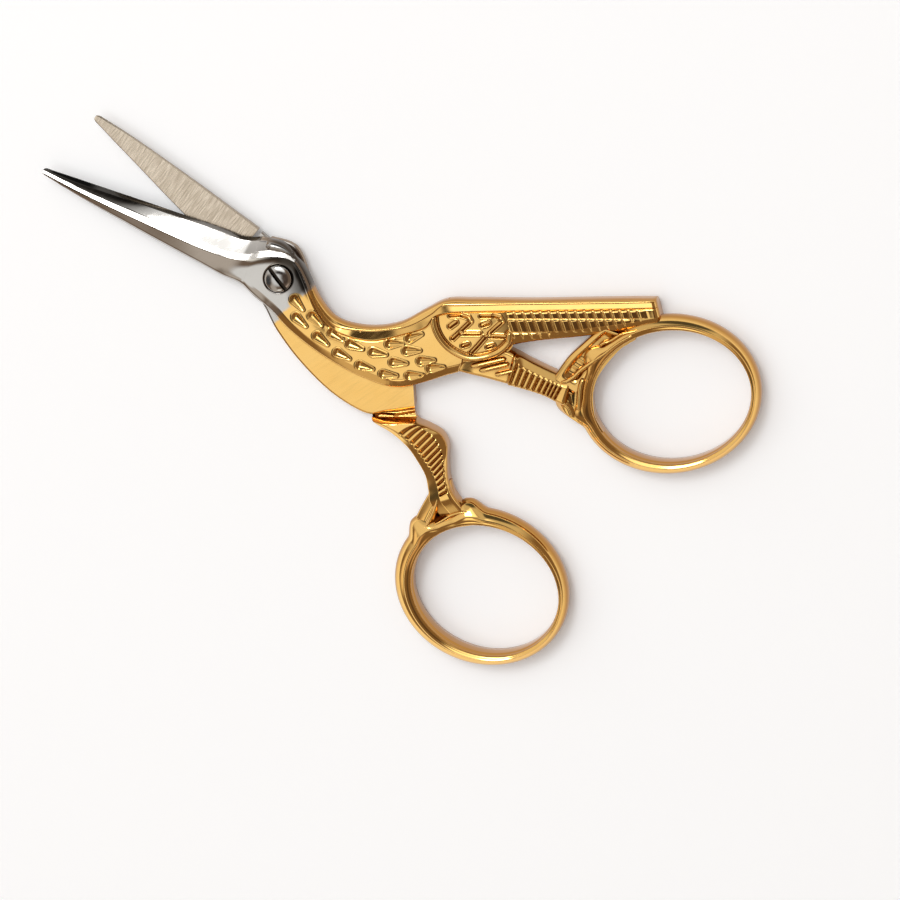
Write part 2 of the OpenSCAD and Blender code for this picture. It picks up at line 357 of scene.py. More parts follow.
def rounding(inset, w, h):
    """Drop of a rounded edge of that width and height, at a distance in from it."""
    t = ramp(inset, w, 0)
    return h * (1 - np.sqrt(1 - t * t))


# Outlines of the halves, left and right edge by turns, with the scissors closed

NECK = [
    [-2.6, 4.4, -4.8, -1.1],
    [0.9, 4.2, -3.0, -2.7],
    [3.6, 0.9, -0.9, -4.5],
    [5.2, -2.5, 1.4, -6.9],
    [7.5, -5.0, 5.3, -9.8],
    [11.4, -5.8, 10.3, -12.4],
    [15.3, -5.2, 15.4, -13.6],
    [18.6, -3.4, 21.8, -11.7],
]
BODY = [
    [21.2, -2.1, 24.0, -11.0],
    [24.6, -1.9, 26.4, -9.8],
    [28.2, -1.8, 28.8, -8.0],
    [32.2, -1.7, 32.2, -7.1],
    [38.3, -1.4, 38.5, -6.2],
    [44.4, -1.1, 44.8, -5.1],
    [47.6, -1.0, 48.5, -4.3],
]
BACK_PLATE = NECK[:6] + [
    [14.6, -5.4, 15.2, -13.55],
    [16.4, -4.9, 17.7, -12.5],
    [18.4, -3.6, 21.0, -10.85],
]
HIND_LEG = [
    [24.5, -6.5, 22.8, -11.4],
    [27.0, -7.5, 25.6, -11.9],
    [29.6, -8.3, 28.6, -12.6],
    [32.2, -9.6, 31.2, -13.2],
    [34.7, -10.7, 33.6, -13.9],
    [36.5, -11.4, 35.3, -14.7],
    [38.6, -11.6, 38.2, -16.0],
]
STRUT = [
    [34.9, -11.4, 37.8, -13.2],
    [36.6, -8.9, 39.4, -10.6],
    [38.7, -6.8, 41.3, -8.2],
    [40.8, -4.8, 44.0, -5.8],
]
FRONT_LEG = [
    [20.6, -10.4, 15.9, -13.0],
    [21.8, -12.05, 16.5, -13.92],
    [23.5, -12.3, 19.2, -14.6],
    [25.3, -12.7, 21.6, -15.7],
    [26.5, -13.9, 23.4, -17.1],
    [27.1, -15.8, 24.9, -18.6],
    [27.9, -18.0, 25.8, -20.3],
    [29.2, -19.8, 26.5, -21.8],
    [31.6, -21.6, 28.8, -23.6],
]

HEAD = [
    [-2.36, 5.01, -4.8, -1.1],
    [-0.69, 4.84, -3.95, -1.9],
    [0.9, 4.25, -3.0, -2.7],
    [2.37, 2.75, -1.98, -3.55],
]
FRONT_ROWS = HEAD + NECK[2:] + BODY
STEP_SHARE = (len(HEAD) + len(NECK) - 3) / (len(FRONT_ROWS) - 1)
BACK_EDGE = along(FRONT_ROWS, np.linspace(0, 1, 160))[:, :2]
BELLY_EDGE = along(FRONT_ROWS, np.linspace(0, 1, 160))[:, 2:]
ACROSS = (BACK_EDGE - BELLY_EDGE) / np.linalg.norm(BACK_EDGE - BELLY_EDGE, axis=1)[:, None]

# Front blade. A point on it lies at a distance d from the pivot and v towards the cutting
# edge. Rows of (d, v) give the blade's lines, and rows of (d, z) their heights.
BLADE_LINE = 157.4
BLADE_REACH = 33.0
CUT = [
    (-2, 4.1), (0.3, 4.3), (2.5, 4.2), (4, 3.75), (5.2, 3.2), (6.2, 2.87), (8.5, 2.72), (11.5, 2.48),
    (14.5, 2.17), (18.8, 1.78), (22.4, 1.42), (26, 1.06), (29.6, 0.72), (32, 0.47), (33, 0.4),
]
CREST_UP = [
    (-3, 2.8), (-1.3, 3.2), (0, 3.36), (0.8, 3.3), (2.3, 2.68), (3.55, 2.03), (5.25, 1.03),
    (6.85, 0.54), (8.9, 0.31), (11.8, 0.17), (14.8, 0.06), (18, 0), (23.4, -0.12), (27.1, -0.14),
    (30, -0.05), (33, 0.08),
]
CREST_LOW = [
    (-3, 2.4), (-1.25, 2.86), (0.1, 2.89), (1.8, 2.32), (3.3, 1.51), (4.7, 0.56), (6.6, -0.04),
    (8.6, -0.28), (11, -0.46), (13.8, -0.52), (18, -0.56), (23.3, -0.56), (27, -0.48), (30, -0.36),
    (33, -0.2),
]
SPINE = [
    (-2, 4.9), (0.46, 4.04), (1.73, 3.64), (2.92, 3.3), (4, 2.88), (7, 2.8), (10.1, 2.6), (14, 2.36),
    (17.1, 2.15), (20.9, 1.85), (24.8, 1.5), (28.8, 1.07), (31.5, 0.68), (33, 0.46),
]
CREST_Z = [
    (-2, 3.85), (7, 3.85), (9, 3.82), (12.5, 3.68), (18.8, 3.3), (24.8, 2.98), (29.7, 2.72), (33, 2.56),
]
SPINE_Z = [
    (-2, 3.6), (4.6, 3.5), (8.2, 3.28), (12.5, 3.12), (18.8, 2.9), (24.8, 2.7), (29.7, 2.52), (33, 2.42),
]
EDGE_T = 0.2
BEVEL_W = 0.38
# Tilt of the hollow ground face in degrees
GRIND = [(-2, 20), (8, 23), (13, 20), (17, 14), (22, 9), (26, 8), (33, 8)]


def blade_place(d, v, line=BLADE_LINE):
    """Points at distance d from the pivot along a blade's line and v to the right of it."""
    a = math.radians(line)
    return np.stack([d * math.cos(a) + v * math.sin(a), d * math.sin(a) - v * math.cos(a)], -1)


def in_blade(x, y):
    """Distances d and v of points in the front blade."""
    a = math.radians(BLADE_LINE)
    return x * math.cos(a) + y * math.sin(a), x * math.sin(a) - y * math.cos(a)


def blade_lines(d):
    """Cutting edge, both sides of the crest and spine at distance d, then their heights."""
    return [table(d, rows) for rows in (CUT, CREST_UP, CREST_LOW, SPINE, CREST_Z, SPINE_Z)]


def bevel_width(cut, up):
    """Width of the bevel along the cutting edge, narrower at the tip."""
    return np.minimum(BEVEL_W, 0.45 * (cut - up))


def lower_facet(d, v, low, spine, crest, back):
    """Height from the blade's spine up to its crest, flatter towards the head."""
    edge = np.minimum(0.5, 0.4 * (low + spine))
    facet = between(back, crest, ramp(v, -spine, low)) - rounding(v + spine, edge, edge)
    flat = between(HEAD_Z, crest, ramp(v, low - 1.7, low) ** 2) - rounding(v + spine, 0.8, 0.8)
    return between(flat, facet, step(d, 3, 8))


def blade_top(d, v):
    """Height of the front blade's outer face."""
    cut, up, low, spine, crest, back = blade_lines(d)
    bevel_from = cut - bevel_width(cut, up)
    edge = LIFT + EDGE_T
    shelf = crest - 0.27 * (up - low)
    band = between(crest, shelf, ramp(v, low, up))
    ground = np.maximum(shelf - (bevel_from - up) * np.tan(np.radians(table(d, GRIND))), edge)
    t = ramp(v, up, bevel_from)
    hollow = between(shelf, ground, t) - 0.048 * (crest - LIFT) * t * (1 - t)
    hollow = hollow - 0.025 * hump(v - up - 0.07, 0.1)
    bevel = between(ground, edge, ramp(v, bevel_from, cut))
    z = np.where(v < low, lower_facet(d, v, low, spine, crest, back), band)
    return np.where(v < up, z, np.where(v < bevel_from, hollow, bevel))


# Crest of the rounded band along the bird's back, and foot of the facet below it. In the head
# they are the two sides of the blade's crest.
HEAD_D = np.linspace(5.2, -1.1, 26)
BAND_CREST = np.vstack([blade_place(HEAD_D, table(HEAD_D, CREST_UP)), smooth([
    [2.75, 1.85], [3.2, 1.1], [3.85, -0.3], [4.4, -1.8],
    [5.0, -3.3], [6.1, -4.9], [7.4, -5.95], [8.7, -6.2], [10.1, -6.3], [11.9, -6.3], [13.9, -6.1],
    [15.8, -5.8], [17.6, -5.1], [19.6, -3.85], [20.9, -2.8], [22.7, -2.7], [26.3, -2.5],
    [30.7, -2.25], [35.0, -2.05], [39.3, -1.85], [43.6, -1.65], [47.0, -1.45], [48.4, -1.4],
])])
FACET_FOOT = np.vstack([blade_place(HEAD_D, table(HEAD_D, CREST_LOW)), smooth([
    [2.55, 1.65], [2.95, 1.0], [3.55, -0.4], [4.1, -1.9],
    [4.8, -3.5], [5.9, -5.2], [7.3, -6.3], [8.6, -6.85], [10.0, -7.25], [11.9, -7.45], [13.8, -7.1],
    [15.8, -6.5], [17.5, -5.98], [18.8, -5.4], [19.7, -4.2], [21.0, -3.65], [23.3, -3.35],
    [30.7, -2.95], [35.0, -2.73], [39.3, -2.5], [43.6, -2.25], [47.0, -2.05], [48.4, -2.0],
])])
# Line on the head where its bulge over the blade ends
BULGE = smooth([
    [-3.4, 4.0], [-2.6, 4.1], [-1.6, 4.15], [0.4, 3.8], [1.6, 3.3], [2.4, 2.4], [3.2, 1.1],
])
BAND = np.vstack([BACK_EDGE + 0.6 * ACROSS, BAND_CREST[::-1]])
FACET = np.vstack([BAND_CREST, FACET_FOOT[::-1]])
BULGE_FIELD = np.vstack([BACK_EDGE[:40] + 0.6 * ACROSS[:40], BULGE[::-1]])

THIGH = along(HIND_LEG, np.linspace(0, 0.5, 20))
THIGH = np.vstack([THIGH[:, :2], THIGH[::-1, 2:]])


# Carved details of the front half

# Feathers: middle and direction of each
FEATHERS = [
    [2.5, -3.1, -50], [2.8, -5.3, -42], [4.8, -5.1, -45], [5.5, -7.6, -38], [7.4, -7.1, -32],
    [8.2, -9.5, -26], [9.8, -8.3, -20], [11.1, -10.9, -14], [12.8, -9.1, -8], [14.1, -11.8, -4],
    [14.9, -7.8, 6], [15.4, -10.2, -2], [17.1, -8.6, 4], [17.4, -11.8, 4], [17.4, -6.8, 22],
    [18.9, -9.8, 6], [20.1, -10.7, 8],
]
FEATHER_R = 0.56
FEATHER_L = 2.25
WING_RIM = smooth([
    [19.75, -4.4], [19.95, -5.6], [20.6, -6.95], [21.65, -8.1], [23.1, -8.95], [24.4, -9.3],
    [25.9, -9.15], [27.5, -8.65], [28.6, -7.9], [29.3, -7.0], [29.4, -6.1],
])
WING_FIELD = np.vstack([WING_RIM, [[28.9, -3.3], [23.3, -3.45], [21.2, -3.75], [20.2, -4.1]]])
# Engraved strokes of the wing: path and half width
WING_SLOTS = [
    ([[21.9, -3.95], [23.1, -3.8], [24.15, -4.1], [24.45, -4.6], [23.3, -5.75], [22.2, -6.85]], 0.26),
    ([[27.4, -3.8], [28.1, -4.0], [28.4, -4.5], [27.5, -5.35], [26.8, -6.05]], 0.24),
    ([[26.3, -6.5], [25.4, -7.6], [24.5, -8.6]], 0.26),
    ([[23.3, -6.2], [25.6, -6.12]], 0.27),
    ([[26.55, -6.4], [28.65, -6.42]], 0.27),
    ([[25.75, -3.88], [27.0, -3.83]], 0.24),
    ([[21.9, -5.3], [22.55, -4.8]], 0.3),
    ([[25.95, -5.0], [26.65, -4.75]], 0.32),
    ([[23.5, -7.75], [24.1, -7.55]], 0.27),
    ([[26.65, -7.8], [27.25, -7.6]], 0.27),
]

# Raised lines: name, path, half width, foot and top
THIGH_BARS = [
    ("thigh_bar_1", [[24.4, -10.45], [29.0, -9.2]], 0.384, 3.25, 3.95),
    ("thigh_bar_2", [[25.5, -10.95], [29.4, -9.85]], 0.352, 3.25, 3.95),
    ("thigh_bar_3", [[27.5, -11.4], [30.1, -10.65]], 0.32, 3.25, 3.95),
]
STRUT_RIDGE = [
    [35.8, -12.0], [36.6, -11.8], [37.5, -11.2], [38.4, -10.3], [39.7, -9.3], [41.2, -8.2],
    [42.0, -7.5], [43.0, -6.7], [44.0, -6.1], [44.8, -5.6], [46.0, -5.05],
]
STRUT_BRANCH = [[40.6, -7.2], [41.2, -6.75], [42.2, -6.35], [43.45, -5.53], [44.7, -5.16], [46.0, -4.85]]
ANKLE_BAR = [[38.8, -11.3], [38.45, -12.3], [38.3, -13.8], [38.25, -15.0], [38.15, -15.5]]
ANKLE_DOT = [[36.85, -13.2], [37.12, -13.3], [37.4, -13.45]]
ANKLE_LINES = [
    ("strut_ridge", STRUT_RIDGE, 0.34, 3.4, 4.1),
    ("strut_branch", STRUT_BRANCH, 0.26, 3.4, 4.05),
    ("ankle_bar", ANKLE_BAR, 0.46, 3.4, 4.1),
    ("ankle_dot", ANKLE_DOT, 0.2, 3.3, 3.85),
]

# Scales of the tail
TICK_PITCH = 1.12
TICK_SLANT = 0.337
TICK_START = 28.61
TICKS_FROM = 28.7

# The tail's square end: its upper corner, and the direction in which it faces
TAIL_CORNER = BODY[-1][:2]
TAIL_FACING = (0.965, 0.263)

# Heights where the carved face begins at the back, and under the wing and the thigh's bars
BAND_FOOT_Z = 2.45
UNDER_WING_Z = 3.4
UNDER_THIGH_Z = 3.2


def slots(x, y, marks, depth):
    """Depth of engraved strokes: steep at the upper left, rising gently to the lower right."""
    z = np.zeros(np.shape(x))
    for path, half in marks:
        path = np.asarray(path, float)
        d = gap(x, y, path)
        low = gap(x, y, path + np.array([0.5, -0.86]) * 1.3 * half)
        z -= depth * ramp(low - d, -half, 1.2 * half) * (1 - step(d, 0.75 * half, 1.15 * half))
        z += 0.2 * depth * hump(d - 1.3 * half, 0.12)
    return z


def feathers(x, y, places):
    """Depth of the feather hollows: little bowls with a thin raised lip."""
    z = np.zeros(np.shape(x))
    for place in places:
        d, bowl = drop(x, y, place, FEATHER_R, FEATHER_L)
        z -= np.where(d < 0, 0.3 * bowl, 0)
        z += 0.035 * hump(d - 0.04, 0.2)
    return z


def ticks(x, y):
    """Height of the rows of small raised scales on the tail."""
    top = -3.12 + 0.054 * (x - 30.7)
    first = -4.02 + 0.036 * (x - 30.7)
    second = -5.78 + 0.03 * (x - 30.7)
    c = (x + TICK_SLANT * (y + 2.87) - TICK_START) / TICK_PITCH
    f = c - np.floor(c)
    cell = step(f, 0.0, 0.32) * (1 - 0.65 * f) * (1 - step(f, 0.88, 1.0))
    z = np.zeros(np.shape(x))
    rows = [(top, first, 47.6, 1.1), (first, second, 46.2, 1.2), (second, second - 0.95, 36.5, 0.8)]
    for high, low, end, size in rows:
        t = ramp(y, high, low)
        body = step(high - y, 0.0, 0.3) * (1 - 0.4 * t) * (1 - step(t, 0.88, 1.0))
        fade = 1 - step(x, end - 4, end)
        here = (y < high) & (y > low) & (c > 0)
        z += np.where(here, 0.21 * size * fade * cell * body, 0)
    return z


def down_neck(x, y):
    """Distance from the pivot down the neck."""
    return 0.64 * x - 0.77 * y


def rounded_band(edge, crest, top):
    """Height of a band that rounds over from its edge up to a crest of height top."""
    t = edge / (edge + crest + 1e-6)
    return between(BAND_FOOT_Z, top, np.sqrt(1 - (1 - t) ** 2.4))


def front_field(x, y, foot, belly, head):
    """Height of the field between the facet and the belly: feathers, scales and thigh."""
    ridge = 0.16 + 0.03 * head
    fillet = 0.1 + 0.09 * head
    reach = 0.9 + 0.8 * head
    t = foot / (foot + belly + 1e-6)
    z = HEAD_Z + 0.18 * (1 - (2 * t - 1) ** 2) * (1 - head)
    z = z + fillet * ramp(foot, reach, 0) ** 2 + (ridge - fillet) * (1 - step(foot, 0, 0.14))
    z = z - 0.1 * hump(foot - 0.13, 0.14) + feathers(x, y, FEATHERS)
    in_wing = inside(x, y, WING_FIELD)
    z = np.where(in_wing & (foot > 0.25), UNDER_WING_Z, z) + ticks(x, y) * ~in_wing * (x > TICKS_FROM)
    return np.where(inside(x, y, THIGH), np.minimum(z, UNDER_THIGH_Z), z)


def blade_root(x, y, back, in_band, band, belly, slope):
    """Height where the head runs out into the blade, with its bulge."""
    d, v = in_blade(x, y)
    line = gap(x, y, BULGE)
    top = HEAD_Z + 0.18
    on_bulge = inside(x, y, BULGE_FIELD)
    bulge = np.where(on_bulge, rounded_band(back, line, top), top - 1.6 * line**2)
    bulge = bulge - 1.3 * step(d, 2.4, 4.0)
    z = blade_top(d, np.maximum(v, 0.85 - table(d, SPINE)))
    z = np.maximum(z, np.where(v > 1, bulge, 0))
    z = np.maximum(z, np.where(in_band, band - 1.5 * step(d, -0.8, 0.4), 0))
    return z - between(slope, rounding(belly, 0.8, 0.8), step(d, 0.5, 3.9))


def front_top(x, y, *_, well=True):
    """Height of the front half's decorated face."""
    back = gap(x, y, BACK_EDGE)
    crest = gap(x, y, BAND_CREST)
    foot = gap(x, y, FACET_FOOT)
    belly = gap(x, y, BELLY_EDGE)
    in_band = inside(x, y, BAND)
    head = 1 - step(down_neck(x, y), 2.0, 7.5)
    band = rounded_band(back, crest, HEAD_Z + 0.12) - 0.1 * hump(crest, 0.13)
    facet = HEAD_Z + 0.02 + (0.14 + 0.03 * head) * crest / (crest + foot + 1e-6)
    field = front_field(x, y, foot, belly, head)
    slope = 0.33 * ramp(belly, 1.15, 0) + rounding(belly, 0.3, 1.0)
    z = np.where(in_band, band, np.where(inside(x, y, FACET), facet, field)) - slope
    root = blade_root(x, y, back, in_band, band, belly, slope)
    z = between(z, root, step(in_blade(x, y)[0], -2.4, -0.4))
    end = TAIL_FACING[0] * (TAIL_CORNER[0] - x) + TAIL_FACING[1] * (TAIL_CORNER[1] - y)
    z = z - rounding(end, 0.7, 1.0)
    return np.where(well & (np.hypot(x, y) < SEAT_OUT - 0.2), WELL_Z, z)


WING = [
    [19.7, -4.3, 19.4, -4.8], [20.2, -4.05, 19.7, -6.2], [21.1, -3.7, 20.4, -7.7],
    [22.3, -3.5, 21.5, -8.9], [23.5, -3.42, 22.8, -9.65], [24.7, -3.38, 24.2, -9.9],
    [25.9, -3.34, 25.6, -9.7], [27.0, -3.3, 27.3, -9.25], [28.0, -3.27, 28.6, -8.75],
    [28.75, -3.3, 29.5, -8.0], [29.1, -4.2, 29.95, -6.9], [29.3, -5.0, 29.8, -5.7],
]


def wing_top(x, y, *_):
    """The engraved wing inside its raised rim."""
    rim = gap(x, y, WING_RIM)
    in_wing = inside(x, y, WING_FIELD)
    dome = 0.14 * np.clip(1 - (np.hypot(x - 24.5, y + 6.5) / 5.5) ** 2, 0, 1)
    pad = 3.58 + dome + slots(x, y, WING_SLOTS, 0.3) - 0.1 * hump(rim - 0.5, 0.2)
    outer = 3.25 + 0.82 * np.sqrt(np.clip(1 - (rim / 0.52) ** 2, 0, 1))
    return np.where(in_wing & (rim > 0.42), pad, outer)


def body_columns(left, right, width):
    """Columns that follow the crest of the band and the foot of its facet."""
    crest = crossing(left, right, BAND_CREST)
    foot = np.maximum(crossing(left, right, FACET_FOOT), crest + 0.05)
    belly = width - np.minimum(1.15, 0.3 * width)
    return np.concatenate([
        spread(0, crest, 20, "both"),
        spread(crest, foot, 6, "both"),
        spread(foot, foot + 0.5, 6, "start"),
        spread(foot + 0.5, belly, 84),
        spread(belly, width, 11, "end"),
        width,
    ], axis=1)


def front_low(x, y, inset, width, share):
    """Back face of the front half: flat and half thick as far as the step, then as the front."""
    edge = np.minimum(inset, width - inset)
    return np.where(share < STEP_SHARE - 1e-4, LIFT, RELIEF + rounding(edge, 1.1, 1.4))


def seat():
    """The polished ring of the head about the screw, with the seat sunk for the screw's head."""
    radii = [1.05, 1.3, SEAT_R, SEAT_R, SEAT_R + 0.03, SEAT_R + 0.1, 2.05, 2.2, 2.35, 2.5, SEAT_OUT]
    xy = circles(radii, 2.5)
    z = front_top(xy[..., 0], xy[..., 1], well=False) + 0.004
    z[:, :3] = FACE_Z - 0.55
    z[:, 3] -= 0.07
    z[:, 4] -= 0.02
    low = raised(xy, LIFT + 0.2)[:, ::-1]
    ring_seat = skin("front_pivot_seat", np.concatenate([raised(xy, z), low], axis=1))
    # Painted shade: the seat under the screw's head takes the dark material, and the ring takes the
    # head's painted dark reflection
    give_dark_faces(ring_seat, lambda c: (np.hypot(c[:, 0], c[:, 1]) < SEAT_R + 0.02) & (c[:, 2] < FACE_Z + 0.2))
    return painted_shade_mark(ring_seat, head_painted_reflection)


def painted_shade_mark(obj, share):
    """Marks at each point how much painted shade and dark reflection the metal gets."""
    mesh = obj.data
    points = np.array([p.co[:] for p in mesh.vertices]) / MM
    mark = mesh.attributes.new("painted_shade_mark", "FLOAT", "POINT")
    mark.data.foreach_set("value", share(points).astype(np.float32))
    return obj


def head_painted_reflection(c):
    """Painted dark reflection on the head: beside the foot of the facet below its crest, and on the
    band, darkest at its back edge.
    """
    x, y = c[:, 0], c[:, 1]
    foot = gap(x, y, FACET_FOOT)
    below = ~inside(x, y, BAND) & ~inside(x, y, FACET)
    head = (1 - step(down_neck(x, y), 2.9, 3.9)) * step(0.923 * x - 0.384 * y, -4.5, -1.5)
    under = below * 0.95 * (1 - step(foot, 0.1, 1.2 + 3.4 * step(x, -0.8, 2.0)))
    edge = inside(x, y, BAND) * (0.45 + 0.4 * (1 - step(gap(x, y, BACK_EDGE), 0.1, 0.6)))
    return head * np.maximum(under, edge)


def give_dark_faces(obj, where):
    """Gives the faces whose middles where() picks the second material, a dark one that stands for dirt
    and painted shade.
    """
    mesh = obj.data
    middles = np.array([p.center[:] for p in mesh.polygons]) / MM
    mesh.polygons.foreach_set("material_index", where(middles).astype(int))


def rounded_end(d, v, reach, length):
    """Draws the columns of a blade together round its tip."""
    middle = v.mean(axis=1, keepdims=True)
    t = ramp(d, reach - length, reach)[:, None]
    return between(middle, v, np.sqrt(1 - 0.8 * t**2))


def tip_stations(reach):
    """Distances that crowd towards the tip of a blade."""
    return reach - 0.5 * (1 - np.sin(np.linspace(0, math.pi / 2, 7)))


def front_blade():
    """The front half's blade, hollow ground towards its cutting edge."""
    d = np.append(np.arange(4.0, BLADE_REACH - 0.6, 0.2), tip_stations(BLADE_REACH))
    cut, up, low, spine, _, _ = blade_lines(d)
    bevel_from = cut - bevel_width(cut, up)
    lines = [-spine, 0.6 - spine, low - 0.26, low, up, bevel_from, cut]
    v = []
    for start, end, count in zip(lines, lines[1:], (9, 8, 6, 3, 12, 3)):
        v += [between(start, end, k / count) for k in range(count)]
    v = np.stack([*v, cut], -1)
    xy = blade_place(d[:, None], rounded_end(d, v, BLADE_REACH, 0.4))
    blade = slab("front_blade", xy, blade_top(d[:, None], v) - 0.012, LIFT, sharp=10)
    # Painted shadow: the foot of the cutting edge's wall takes the dark material, and the blade takes
    # its painted dark reflection
    give_dark_faces(blade, lambda c: c[:, 2] < LIFT + 0.55 * EDGE_T)
    return painted_shade_mark(blade, blade_painted_reflection)


def blade_painted_reflection(c):
    """Painted dark reflection on the blade: a thin line just short of the crest, the hollow ground face
    towards the tip, and the strip along the cutting edge.
    """
    d, v = in_blade(c[:, 0], c[:, 1])
    cut, up, low, _, _, _ = blade_lines(d)
    t = (v - up) / np.maximum(cut - up, 0.05)
    line = 0.75 * hump(v - low + 0.08, 0.09) * step(d, 5, 9)
    face = np.maximum(0.93 * step(d + 2.5 * t, 15, 24), 0.6 * step(t, 0.8, 0.9))
    return np.maximum(line, np.where(t > 0.06, face, 0))


def leg_ribs(u, start, end, count, depth):
    """Depth of the narrow grooves between the ribs of a leg at shares u of its length."""
    phase = (u - start) / (end - start) * count
    groove = hump(phase - np.floor(phase) - 0.5, 0.33)
    return np.where((u > start) & (u < end), depth * groove, 0)


def bar_low(x, y, inset, width, share):
    """Rounded back face of a leg."""
    return rounding(np.minimum(inset, width - inset), 0.8, 1.3)


def hind_top(x, y, inset, width, share):
    """Hind leg: a plain thigh, then ribs beside a broad hollow chamfer."""
    far = width - inset
    wide = 1.25 * step(share, 0.3, 0.45)
    tilted = share + 0.03 * (inset / width - 0.5)
    ribs = leg_ribs(tilted, 0.37, 0.84, 10, 0.34) * step(inset, wide, wide + 0.2) * step(far, 0.15, 0.35)
    chamfer = ramp(inset, np.maximum(wide, 0.5), 0) ** 1.3 * (0.5 + 0.35 * step(share, 0.3, 0.4))
    level = 3.42 - 0.3 * (1 - step(share, 0, 0.15))
    level = level + 0.5 * step(share, 0.352, 0.372) - 1.6 * step(share, 0.87, 0.95)
    return level - ribs - chamfer - rounding(inset, 0.12, 0.9) - rounding(far, 0.45, 1.2)


def strut_top(x, y, inset, width, share):
    """Strut: pale chamfer, lip, flat gutter, and a side that rises to the bright ridge."""
    chamfer = 0.42 * ramp(inset, 0.55, 0) + rounding(inset, 0.1, 0.9)
    t = inset / width
    gutter = 0.42 * step(t, 0.24, 0.34) * (1 - step(t, 0.66, 0.9)) * step(share, 0.1, 0.22)
    bars = 0.1 * hump(share - 0.42, 0.05) + 0.1 * hump(share - 0.3, 0.05)
    return 3.72 - chamfer - (gutter - bars * step(gutter, 0.1, 0.3)) * (1 - step(share, 0.86, 0.97))


ANKLE = [
    [44.6, -5.5, 45.2, -6.2], [42.6, -6.9, 43.4, -7.4], [41.2, -8.1, 42.2, -8.7],
    [39.7, -9.2, 41.2, -10.0], [38.4, -10.2, 40.4, -11.4], [37.3, -11.1, 40.0, -12.8],
    [36.0, -11.9, 39.9, -13.9], [35.5, -13.3, 40.0, -15.1], [35.0, -14.7, 40.2, -16.3],
    [35.6, -16.0, 40.7, -17.3], [37.3, -17.1, 41.3, -18.2],
]
ANKLE_HOLLOW = [
    [36.5, -12.1], [38.0, -11.3], [37.7, -13.1], [37.6, -15.1], [37.1, -14.8], [36.4, -13.65],
    [35.9, -13.9],
]
SPUR_TOP = smooth([[35.4, -14.3], [36.2, -14.65], [36.9, -15.2], [37.3, -16.1]])


def ankle_top(x, y, inset, width, share):
    """Plate between the ankle and the ring, with its hollow and spur."""
    z = 3.45 - 0.12 * sunk(x, y, ANKLE_HOLLOW, 0.5) + 0.2 * hump(gap(x, y, SPUR_TOP), 0.4)
    edge = ramp(inset, 1.3, 0) * step(share, 0.62, 0.78)
    return z - 1.4 * edge**1.3


FOOT = [
    [19.4, -26.0, 21.9, -25.4], [18.8, -27.5, 22.2, -26.8], [18.1, -28.8, 22.8, -27.9],
    [17.4, -30.2, 24.2, -28.7], [16.9, -31.5, 25.5, -29.5], [16.8, -32.7, 26.1, -31.0],
]
FOOT_HOLLOW = [
    [21.8, -27.9], [20.75, -27.7], [20.3, -29.0], [19.5, -31.1], [20.7, -30.3], [22.0, -29.3],
    [24.2, -28.8], [22.4, -28.3],
]
FOOT_LINES = [
    [[20.3, -26.9], [20.1, -28.6], [19.1, -31.0], [18.3, -31.8]],
    [[22.4, -26.4], [22.7, -27.7], [24.5, -28.4], [26.0, -28.9]],
    [[18.7, -31.9], [20.7, -30.7], [22.3, -29.7], [24.5, -29.2], [26.4, -29.4]],
]


def foot_top(x, y, inset, width, share):
    """Foot of the front leg on the ring: three ridges round a deep hollow."""
    far = width - inset
    lines = np.minimum.reduce([gap(x, y, smooth(line)) for line in FOOT_LINES])
    z = 3.4 + 0.5 * hump(lines, 0.45) - sunk(x, y, FOOT_HOLLOW, 0.35) - 0.7 * step(share, 0.82, 1.0)
    z = z - 0.75 * ramp(inset, 1.6, 0) ** 1.2 - 0.5 * ramp(far, 1, 0)
    return z - rounding(np.minimum(inset, far), 0.2, 0.9)


def ridge(name, path, half, foot, top):
    """A raised rounded line along a path."""
    path = smooth(path, 10)
    tangent = np.gradient(path, axis=0)
    tangent /= np.linalg.norm(tangent, axis=1)[:, None]
    normal = np.stack([-tangent[:, 1], tangent[:, 0]], -1)
    t = np.linspace(-1, 1, 11)
    ends = np.sqrt(np.clip(1 - np.abs(np.linspace(-1, 1, len(path))) ** 8, 0.05, 1))
    xy = path[:, None] + normal[:, None] * (t * half)[None, :, None] * ends[:, None, None]
    z = between(foot, top, np.sqrt(1 - 0.96 * t**2)[None, :] * ends[:, None])
    return slab(name, xy, z, foot - 0.4)


# Rings

BAND_W = 1.25
KNUCKLE_H = 1.15
# Upper half of a ring's section: share of the band, height from the middle, offset inwards
RING_SECTION = [
    (0.0, 0.0, 0.10), (0.0, 0.7, 0.09), (0.0, 1.05, 0.05), (0.0, 1.1, 0.0), (0.0, 1.5, -0.03),
    (0.03, 1.78, 0), (0.08, 1.9, 0), (0.2, 1.97, 0), (0.34, 2.0, 0), (0.37, 2.05, 0),
    (0.4, 1.97, 0), (0.46, 1.9, 0), (0.56, 1.78, 0), (0.68, 1.58, 0), (0.8, 1.32, 0),
    (0.9, 1.0, 0), (0.97, 0.6, 0), (1.0, 0.2, 0), (1.0, 0.0, 0),
]


def ring(name, centre, length, width, turn, widest, wide_at, knuckles):
    """An oval ring: a flat band inside a ridge line and a round slope outside it.

    The band is widest at the angle wide_at and swells at each knuckle's angle.
    """
    a = np.radians(np.arange(0, 360, 0.9))[:, None]
    seen = np.degrees(a) + turn
    swell = np.zeros(a.shape)
    for knuckle in knuckles:
        away = np.abs((seen - knuckle + 180) % 360 - 180)
        swell = np.maximum(swell, 1 - step(away, 1.0, 12.5))
    band = between(BAND_W, widest, (1 + np.cos(np.radians(seen - wide_at))) / 2)
    lower = [(share, -height, inwards) for share, height, inwards in RING_SECTION[-2:0:-1]]
    share, height, inwards = np.array(RING_SECTION + lower).T
    out = share * (band + KNUCKLE_H * swell - 0.02) - inwards
    xy = np.stack([(length / 2 + out) * np.cos(a), (width / 2 + out) * np.sin(a)], -1)
    return skin(name, raised(turned(xy, turn) + centre, HALF_T + height), sharp=50)


# Back half

